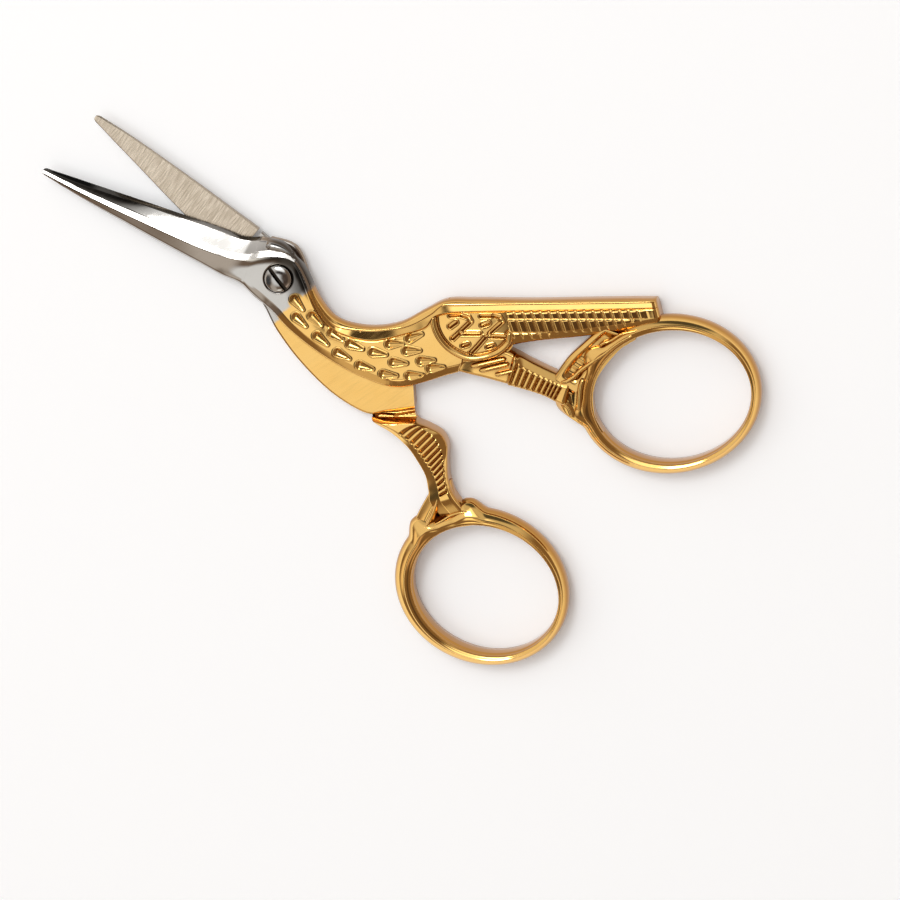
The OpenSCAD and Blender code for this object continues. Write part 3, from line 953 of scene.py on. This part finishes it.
# Crease where the flat plate ends, and crest of the front leg's scoop below it
CREASE = turned(smooth([
    [15.9, -13.7], [16.6, -13.1], [17.65, -12.45], [19.3, -11.6], [21.1, -10.8], [21.8, -10.4],
]), -OPEN_ANGLE)
CREST = smooth([
    [12.6, -17.7], [13.6, -18.0], [14.6, -18.26], [16.1, -17.95], [17.57, -17.41], [18.3, -17.0],
])
ABOVE_CREASE = np.vstack([CREASE, [[18, -10], [8, -10], [8, -18]]])
PAST_CREST = np.vstack([CREST, [[24, -17], [24, -32], [8, -32], [8, -17.7]]])
CREST_H = 3.98 - INNER_Z
BACK_REACH = 30.7


def when_closed(x, y):
    """Where points of the back half lie when the scissors are closed."""
    return np.moveaxis(turned(np.stack([x, y], -1), OPEN_ANGLE), -1, 0)


def back_top(x, y, inset, width, share):
    """Flat inner face of the back half, its edges slightly broken."""
    return INNER_Z - 0.1 * ramp(np.minimum(inset, width - inset), 0.14, 0)


def back_low(x, y, inset, width, share):
    """Decorated outer face of the back half, which lies below."""
    edge = np.minimum(inset, width - inset)
    return RELIEF + rounding(edge, 1.1, 0.85) - feathers(*when_closed(x, y), FEATHERS[:14])


def leg_body(inset, width, share):
    """Ribbed crown of the front leg between its two chamfers."""
    far = width - inset
    wide = 0.95 + 0.6 * step(share, 0.4, 0.85)
    knee = 0.45 + 0.45 * hump(share - 0.42, 0.3)
    tilted = share + (0.03 + 0.1 * (1 - step(share, 0.2, 0.9))) * (0.5 - inset / width)
    ribs = leg_ribs(tilted, 0.21, 0.86, 14, 0.4)
    ribs = ribs * step(far, wide, wide + 0.25) * step(inset, knee, knee + 0.12)
    chamfer = 0.55 * ramp(far, wide, 0) + 0.55 * ramp(inset, knee, 0)
    chamfer = chamfer + rounding(np.minimum(inset, far), 0.12, 0.9)
    return 4.02 - ribs - chamfer - 0.5 * step(share, 0.87, 1.0)


def front_leg_top(x, y, inset, width, share):
    """Front leg: a scoop rises from the flat plate to a crest, and the ribs follow it."""
    body = leg_body(inset, width, share)
    crease = gap(x, y, CREASE)
    t = crease / (crease + gap(x, y, CREST) + 1e-6)
    scoop = INNER_Z - 0.55 * np.sin(np.pi * ramp(t, 0, 0.6)) + CREST_H * step(t, 0.45, 0.97)
    past = inside(x, y, PAST_CREST) | (share >= 0.2)
    z = np.where(past, body, np.minimum(scoop, body + 0.3))
    z = np.where(inside(x, y, ABOVE_CREASE), INNER_Z - 0.3, z)
    return np.minimum(z, belly_seat(x, y))


def belly_seat(x, y):
    """Height that clears the belly when the scissors are closed."""
    x, y = when_closed(x, y)
    outline = np.vstack([BACK_EDGE, BELLY_EDGE[::-1]])
    away = np.where(inside(x, y, outline), 0, np.clip(gap(x, y, BELLY_EDGE) - 0.08, 0, None))
    return INNER_Z - 0.02 + 4 * away


def back_blade(name, start, reach=BACK_REACH):
    """A length of the back half's blade, its flat ground face towards the viewer."""
    d = np.arange(start, reach - 0.6, 0.4)
    if reach == BACK_REACH:
        d = np.append(d, tip_stations(reach))
    scaled = np.maximum(d * BLADE_REACH / BACK_REACH, -2)
    cut, _, _, spine, _, _ = blade_lines(scaled)
    spine = np.minimum(spine, 3.3)
    v = [between(-spine, cut, k / 12) for k in range(1, 12)]
    v = np.stack([-spine, -spine + 0.15, *v, cut - 0.1, cut], -1)
    depth = blade_top(scaled[:, None], v) - LIFT
    xy = blade_place(d[:, None], -rounded_end(d, v, BACK_REACH, 0.5), BLADE_LINE - 0.6 - OPEN_ANGLE)
    top = np.full(v.shape, INNER_Z)
    top[:, 0] -= 0.15
    top[:, -1] -= 0.05
    return slab(name, xy, top, INNER_Z - depth, sharp=14)


# Screw

def dome(c):
    """Height of the screw's dome over points."""
    share = (c[:, 0] ** 2 + c[:, 1] ** 2) / DOME_R**2
    return DOME_FOOT_Z + DOME_H * np.sqrt(np.clip(1 - share, 0, 1))


def screw_body():
    """The screw's shank and domed head, turned about its axis."""
    profile = [
        (1.0, 0.0), (1.0, FACE_Z - 0.38), (1.66, FACE_Z - 0.38), (1.75, FACE_Z - 0.3),
        (1.75, FACE_Z - 0.08), (1.73, FACE_Z - 0.02),
    ]
    for t in np.radians(range(6, 90, 6)):
        profile.append((DOME_R * math.cos(t), DOME_FOOT_Z + DOME_H * math.sin(t)))
    r, z = np.array(profile).T
    rings = raised(circles(r, 3.75), z)
    count, size, _ = rings.shape
    foot, tip = count * size, count * size + 1
    first = [k * size for k in range(count)]
    following = first[1:] + first[:1]
    ends = [(foot, b, a) for a, b in zip(first, following)]
    ends += [(tip, a + size - 1, b + size - 1) for a, b in zip(first, following)]
    points = np.vstack([rings.reshape(-1, 3), [[0, 0, 0], [0, 0, DOME_FOOT_Z + DOME_H]]])
    quads = grid(count, size, loop=True, closed=False)
    return mesh_object("screw_head_and_shank", points, quads, ends, sharp=30)


def slot_cutter():
    """A wedge along the driver slot, wider at its top."""
    c, s = math.cos(SLOT_TURN), math.sin(SLOT_TURN)
    corners = []
    for z, half in ((SLOT_FLOOR_Z, 0.192), (FACE_Z + 1, 0.384)):
        for p, q in ((-4, -half), (4, -half), (4, half), (-4, half)):
            corners.append(((p * c - q * s) * MM, (p * s + q * c) * MM, z * MM))
    faces = [(3, 2, 1, 0), (4, 5, 6, 7), (0, 1, 5, 4), (1, 2, 6, 5), (2, 3, 7, 6), (3, 0, 4, 7)]
    mesh = bpy.data.meshes.new("cutter")
    mesh.from_pydata(corners, [], faces)
    return placed("cutter", mesh)


def in_slot(c):
    """True for points on the walls and floor of the driver slot."""
    across = np.abs(c[:, 1] * math.cos(SLOT_TURN) - c[:, 0] * math.sin(SLOT_TURN))
    return (across < 0.29) & (c[:, 2] > SLOT_FLOOR_Z - 0.05) & (np.abs(c[:, 2] - dome(c)) > 0.02)


def pivot_screw():
    """Domed screw with a driver slot."""
    screw = screw_body()
    cutter = slot_cutter()
    cut = screw.modifiers.new("slot", "BOOLEAN")
    cut.operation = "DIFFERENCE"
    cut.object = cutter
    cut.solver = "EXACT"
    bpy.context.view_layer.update()
    solid = bpy.data.meshes.new_from_object(screw.evaluated_get(bpy.context.evaluated_depsgraph_get()))
    screw.modifiers.clear()
    screw.data = solid
    bpy.data.objects.remove(cutter)
    solid.shade_smooth()
    solid.set_sharp_from_angle(angle=math.radians(30))
    # The slot's walls and floor take the dark material: dirt and painted shade
    give_dark_faces(screw, in_slot)
    return screw


# Materials

class Nodes:
    """Short calls for building a node tree."""

    def __init__(self, tree):
        self.tree = tree

    def put(self, socket, value):
        """Links a socket to another one, or sets its plain value."""
        if isinstance(value, bpy.types.NodeSocket):
            self.tree.links.new(value, socket)
        else:
            socket.default_value = value

    def add(self, kind, inputs=None, **settings):
        """A node with its settings and inputs."""
        node = self.tree.nodes.new("ShaderNode" + kind)
        for key, value in settings.items():
            setattr(node, key, value)
        for key, value in (inputs or {}).items():
            self.put(node.inputs[key], value)
        return node

    def math(self, operation, *values):
        """The result of an operation on numbers."""
        return self.add("Math", dict(enumerate(values)), operation=operation).outputs[0]

    def remap(self, value, low, high, to=(0, 1), kind="LINEAR"):
        """A number moved from the range low to high into another one."""
        inputs = {"Value": value, "From Min": low, "From Max": high, "To Min": to[0], "To Max": to[1]}
        return self.add("MapRange", inputs, interpolation_type=kind).outputs[0]

    def mix(self, factor, first, second, blend="MIX"):
        """Two colours mixed."""
        inputs = {"Factor": factor, 6: first, 7: second}
        return self.add("Mix", inputs, data_type="RGBA", blend_type=blend).outputs[2]

    def noise(self, place, scale, detail, roughness):
        """Noise of that scale, from 0 to 1."""
        inputs = {"Vector": place, "Scale": scale, "Detail": detail, "Roughness": roughness}
        return self.add("TexNoise", inputs).outputs["Fac"]


GOLD_DEEP = (0.95, 0.56, 0.155, 1)
GOLD_PALE = (1.0, 0.65, 0.225, 1)
STEEL = (0.62, 0.60, 0.57)
# Painted shade: colours multiplied into steel and into gold in hollows, near other parts and on steep
# sides, then a near black multiplied in as painted dark reflection where a piece is marked
STEEL_PAINTED_SHADE = (0.30, 0.25, 0.2)
GOLD_PAINTED_SHADE = (0.36, 0.22, 0.10)
PAINTED_DARK_REFLECTION = (0.06, 0.055, 0.05)
GRAIN_SHADE = (0.66, 0.63, 0.57, 1)
# Middle of the first feather, in metres, and the reach of the gold round it
FIRST_FEATHER = (0.0023, -0.0028, 0.0037)
FEATHER_GOLD = (0.0012, 0.0009)
# The gold begins on a line given by (x, y, distance)
PLATING_FRONT = (0.64, -0.768, 3.6)
PLATING_BACK = (0.64, -0.768, 4.1)


def tone(colour, shares):
    """A colour with its channels scaled, none above 1."""
    return (*(min(1, c * share) for c, share in zip(colour, shares)), 1)


def plated(n, place, broad, steel, line):
    """Steel plated with gold past a line that is slightly ragged, and round the first feather."""
    x, y, distance = line
    gold = n.mix(broad, GOLD_DEEP, GOLD_PALE)
    across = n.add("VectorMath", {0: place, 1: (x / MM, y / MM, 0)}, operation="DOT_PRODUCT")
    ragged = n.math("MULTIPLY_ADD", n.noise(place, 2600, 4, 0.6), 0.5, across.outputs["Value"])
    past = n.remap(ragged, distance, distance + 0.5, kind="SMOOTHSTEP")
    away = n.add("VectorMath", {0: place, 1: FIRST_FEATHER}, operation="DISTANCE").outputs["Value"]
    near = n.remap(away, *FEATHER_GOLD, kind="SMOOTHSTEP")
    return n.mix(n.math("MAXIMUM", past, near), steel, gold)


def paint_shade_over(n, colour, painted_shade_colour):
    """Paints shade into a colour: darker in hollows and where parts or the floor come close, darker on
    steep sides as a painted dark reflection, and darkest where a piece is marked.
    """
    # Painted shade from ambient occlusion: hollows, and where other pieces or the floor come close
    hollow = n.add("AmbientOcclusion", {"Distance": 0.0006}, samples=6).outputs["AO"]
    normal = n.add("NewGeometry").outputs["Normal"]
    up = n.add("SeparateXYZ", {0: normal}).outputs["Z"]
    # Painted dark reflection on steep sides, by how far the normal leans from straight up
    steep = n.remap(up, 0.78, 0.35, to=(0, 0.8), kind="SMOOTHSTEP")
    dark = n.math("MAXIMUM", n.remap(hollow, 0.86, 0.45, to=(0, 0.85)), steep)
    # Painted dark reflection and shade where a piece marks it
    mark = n.add("Attribute", attribute_name="painted_shade_mark").outputs["Fac"]
    return n.mix(mark, n.mix(dark, colour, (*painted_shade_colour, 1), "MULTIPLY"), (*PAINTED_DARK_REFLECTION, 1), "MULTIPLY")


def metal(name, gold_from=None, colour=STEEL, grain=None, rough=0.1, painted_shade_colour=STEEL_PAINTED_SHADE):
    """Polished metal, or ground metal with a grain given by (angle, stretch)."""
    material = bpy.data.materials.new(name)
    material.use_nodes = True
    n = Nodes(material.node_tree)
    n.tree.nodes.clear()
    place = n.add("TexCoord").outputs["Object"]
    broad = n.noise(place, 260, 3, 0.5)
    base = n.mix(broad, tone(colour, (0.93, 0.93, 0.92)), tone(colour, (1.07, 1.07, 1.08)))
    if gold_from:
        base = plated(n, place, broad, base, gold_from)
    # Painted shade and dark reflection laid over the metal's colour
    base = paint_shade_over(n, base, painted_shade_colour)
    angle, stretch = grain or (35.0, 12.0)
    inputs = {"Vector": place, "Rotation": (0, 0, math.radians(angle)), "Scale": (stretch, 1, 1)}
    stretched = n.add("Mapping", inputs, vector_type="TEXTURE").outputs[0]
    scratches = n.noise(stretched, 8500 if grain else 2500, 5, 0.65)
    if grain:
        base = n.mix(n.remap(scratches, 0.25, 0.78), base, GRAIN_SHADE, "MULTIPLY")
    wear = n.remap(scratches, 0.35, 0.75, to=(rough * 0.75, rough * (1.5 if grain else 1.9)))
    bump = n.add("Bump", {"Height": scratches, "Strength": 0.35 if grain else 0.06, "Distance": 0.00002})
    surface = {"Base Color": base, "Metallic": 1.0, "Roughness": wear, "Normal": bump.outputs[0]}
    shader = n.add("BsdfPrincipled", surface)
    n.add("OutputMaterial", {"Surface": shader.outputs[0]})
    return material


front_metal = metal("front_casting", PLATING_FRONT, rough=0.07, painted_shade_colour=GOLD_PAINTED_SHADE)
back_metal = metal("back_casting", PLATING_BACK, rough=0.07, painted_shade_colour=GOLD_PAINTED_SHADE)
plate_metal = metal("back_plate", PLATING_BACK, rough=0.1, painted_shade_colour=GOLD_PAINTED_SHADE)
blade_metal = metal("front_blade", rough=0.07)
flat_metal = metal("back_ground_face", colour=(0.95, 0.83, 0.69), rough=0.26, grain=(54, 14.0))
screw_metal = metal("screw_steel", colour=(0.56, 0.55, 0.53), rough=0.1)
# A dark second material: in the screw's driver slot it is dirt and painted shade, on the seat under the
# screw's head painted shade, and at the foot of the front blade's cutting edge a painted shadow line
dirt_and_painted_shade = metal("dirt_and_painted_shade", colour=(0.09, 0.075, 0.06), rough=0.35)


# Pieces on their bodies and slots

def flat(z):
    """A plain face at height z."""
    return lambda *_: z


def front_pieces():
    """Castings of the front half."""
    carved = FRONT_ROWS, front_top, front_low, body_columns, 0.075
    # The head takes its painted dark reflection
    yield painted_shade_mark(plate("front_casting", *carved, span=(0, STEP_SHARE)), head_painted_reflection)
    yield plate("tail", *carved, span=(STEP_SHARE, 1))
    yield plate("wing", WING, wing_top, flat(3.0), even_columns(0.5, 10, 90), 0.065, 8)
    yield seat()
    yield plate("hind_leg", HIND_LEG, hind_top, bar_low, even_columns(1.3, 10, 24), 0.07)
    yield from (ridge(*line) for line in THIGH_BARS)
    yield plate("strut", STRUT, strut_top, bar_low, even_columns(0.9, 8, 18), 0.1)
    yield from (ridge(*line) for line in ANKLE_LINES)
    ankle = plate("ankle", ANKLE, ankle_top, flat(1.9), even_columns(1.3, 12, 36), 0.075, 12)
    # Painted shade in the ankle's hollow
    yield painted_shade_mark(ankle, lambda c: 0.45 * inside(c[:, 0], c[:, 1], ANKLE_HOLLOW))
    yield ring("finger_ring", (49.7, -13.4), 20.0, 17.0, 10.6, 2.1, 165, (150, 193))


def back_pieces():
    """Castings of the back half, turned open."""
    neck = turned_rows(BACK_PLATE, -OPEN_ANGLE)
    yield plate("back_casting", neck, back_top, back_low, even_columns(0.4, 4, 12), 0.13, 70)
    leg = turned_rows(FRONT_LEG, -OPEN_ANGLE)
    yield plate("front_leg", leg, front_leg_top, bar_low, even_columns(1.4, 12, 20), 0.06)
    yield plate("foot", FOOT, foot_top, flat(1.9), even_columns(1.5, 12, 60), 0.075, 12)
    centre = turned((36.5, -30.5), -OPEN_ANGLE)
    turn, wide_at = -5.6 - OPEN_ANGLE, 180 - OPEN_ANGLE
    yield ring("thumb_ring", centre, 19.2, 16.8, turn, 2.45, wide_at, (98.9, 134.9))


def dress(obj, material, body, node):
    """Gives a piece its metal and a second, dark material, puts it on its body, and hides the frame's
    own part for that node.
    """
    obj.data.materials.append(material)
    obj.data.materials.append(dirt_and_painted_shade)
    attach(obj, body)
    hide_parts(node)


for piece in front_pieces():
    dress(piece, front_metal, "front", "front_half")
for piece in back_pieces():
    dress(piece, plate_metal if piece.name == "back_casting" else back_metal, "back", "back_half")
dress(front_blade(), blade_metal, "front", "front_half")
dress(back_blade("back_blade", 5.95), flat_metal, "back", "back_half")
dress(back_blade("back_heel", -1.0, 6.4), blade_metal, "back", "back_half")
dress(pivot_screw(), screw_metal, "back", "pivot_screw")


# Camera, floor and light

# Floor, in metres: half its side; and how much brighter it is where it is seen directly
FLOOR_HALF = 3.0
FLOOR_LIFT = 0.15
LAMP_AIM = (0.016, -0.013, 0)


def camera():
    """Camera at the photograph's angle, far enough to see the scissors nearly flat."""
    right, above = math.radians(CAMERA_RIGHT), math.radians(CAMERA_ABOVE)
    back = Vector((math.sin(right), math.sin(above), 0))
    back.z = math.sqrt(1 - back.x**2 - back.y**2)
    side = Vector((0, 1, 0)).cross(back).normalized()
    up = back.cross(side)
    data = bpy.data.cameras.new("camera")
    data.sensor_width = SENSOR_WIDTH
    data.lens = PIXELS_PER_MM * CAMERA_DISTANCE / PICTURE_WIDTH * SENSOR_WIDTH
    data.clip_start, data.clip_end = 0.01, 10
    obj = placed("camera", data)
    place = (Vector(LOOK_AT) + back * CAMERA_DISTANCE) * MM
    turn = Matrix((side, up, back)).transposed().to_4x4()
    obj.matrix_world = Matrix.Translation(place) @ turn
    bpy.context.scene.camera = obj


def floor():
    """A white table under the scissors that keeps their shadow."""
    mesh = bpy.data.meshes.new("floor")
    s = FLOOR_HALF
    mesh.from_pydata([(-s, -s, 0), (s, -s, 0), (s, s, 0), (-s, s, 0)], [], [(0, 1, 2, 3)])
    obj = placed("floor", mesh)
    obj.location.z = -0.00002
    material = bpy.data.materials.new("floor")
    material.use_nodes = True
    shader = material.node_tree.nodes["Principled BSDF"]
    shader.inputs["Base Color"].default_value = (0.905, 0.93, 0.955, 1)
    shader.inputs["Roughness"].default_value = 0.9
    shader.inputs["Specular IOR Level"].default_value = 0.0
    shader.inputs["Emission Color"].default_value = (1, 1, 1, 1)
    n = Nodes(material.node_tree)
    n.put(shader.inputs["Emission Strength"], n.math("MULTIPLY", seen_directly(n), FLOOR_LIFT))
    mesh.materials.append(material)


def seen_directly(n):
    """1 for rays from the camera and for those in reflections and through glass."""
    rays = n.add("LightPath").outputs
    seen = n.math("MAXIMUM", rays["Is Camera Ray"], rays["Is Glossy Ray"])
    return n.math("MAXIMUM", seen, rays["Is Transmission Ray"])


def lamp(name, direction, distance, size, power, glossy):
    """A soft box aimed at the scissors."""
    data = bpy.data.lights.new(name, "AREA")
    data.shape = "RECTANGLE"
    data.size, data.size_y = size
    data.energy = power
    obj = placed(name, data)
    towards = Vector(direction).normalized()
    obj.location = Vector(LAMP_AIM) + towards * distance
    obj.rotation_euler = towards.to_track_quat("Z", "Y").to_euler()
    obj.visible_glossy = glossy


# The room as the metal mirrors it, painted in order: centre across and up the picture,
# radii, turn, softness and level. A direction's x and y are those of its unit vector.
ROOM_LEVEL = (0.21, 0.145, 0.10)
ROOM = [
    (-0.52, 0.42, 0.42, 0.46, 0, 0.35, (0.80, 0.77, 0.74)),
    (0.00, 0.82, 0.60, 0.28, 0, 0.3, (0.60, 0.58, 0.56)),
    (0.30, -0.52, 0.18, 0.10, 20, 0.4, (0.60, 0.45, 0.36)),
    (-0.04, 0.40, 0.22, 0.38, 0, 0.15, (1.50, 1.50, 1.50)),
    (-0.36, -0.64, 0.13, 0.30, 0, 0.3, (0.62, 0.54, 0.46)),
    (-0.20, -0.18, 0.20, 0.23, 0, 0.3, (0.97, 0.96, 0.94)),
    (0.10, -0.13, 0.20, 0.27, 0, 0.35, (0.09, 0.06, 0.045)),
    (-0.12, 0.05, 0.17, 0.08, 0, 0.4, (0.06, 0.05, 0.045)),
    (-0.84, -0.15, 0.09, 0.25, 0, 0.4, (0.90, 0.80, 0.70)),
    (-0.60, -0.25, 0.19, 0.22, 0, 0.3, (0.07, 0.07, 0.07)),
    (0.05, 0.93, 0.45, 0.09, 0, 0.4, (0.08, 0.08, 0.08)),
    (-0.13, -0.68, 0.11, 0.09, 0, 0.4, (1.3, 1.25, 1.15)),
]


def world():
    """A studio: white along the horizon, with soft boxes and dark parts above."""
    studio = bpy.data.worlds.new("studio")
    bpy.context.scene.world = studio
    studio.use_nodes = True
    n = Nodes(studio.node_tree)
    n.tree.nodes.clear()
    direction = n.add("TexCoord").outputs["Generated"]
    colour = (*ROOM_LEVEL, 1)
    for x, y, wide, high, turn, soft, level in ROOM:
        inputs = {"Vector": direction, "Location": (x, y, 0), "Scale": (wide, high, 1e6)}
        inputs["Rotation"] = (0, 0, math.radians(turn))
        place = n.add("Mapping", inputs, vector_type="TEXTURE").outputs[0]
        away = n.add("VectorMath", {0: place}, operation="LENGTH").outputs["Value"]
        mask = n.remap(away, 1 + soft, 1 - soft, kind="SMOOTHSTEP")
        colour = n.mix(mask, colour, (*level, 1))
    height = n.add("SeparateXYZ", {0: direction}).outputs["Z"]
    colour = n.mix(n.remap(height, 0.16, 0.06, kind="SMOOTHSTEP"), colour, (1, 1, 1, 1))
    background = n.add("Background", {"Color": colour})
    n.add("OutputWorld", {"Surface": background.outputs[0]})


camera()
floor()
world()
lamp("key", (-0.2, 0.45, 0.9), 0.8, (0.22, 0.22), 1.3, True)
lamp("fill", (-0.3, 0.2, 0.95), 1.2, (1.4, 1.4), 6.0, False)
bpy.context.scene.view_settings.view_transform = "Standard"
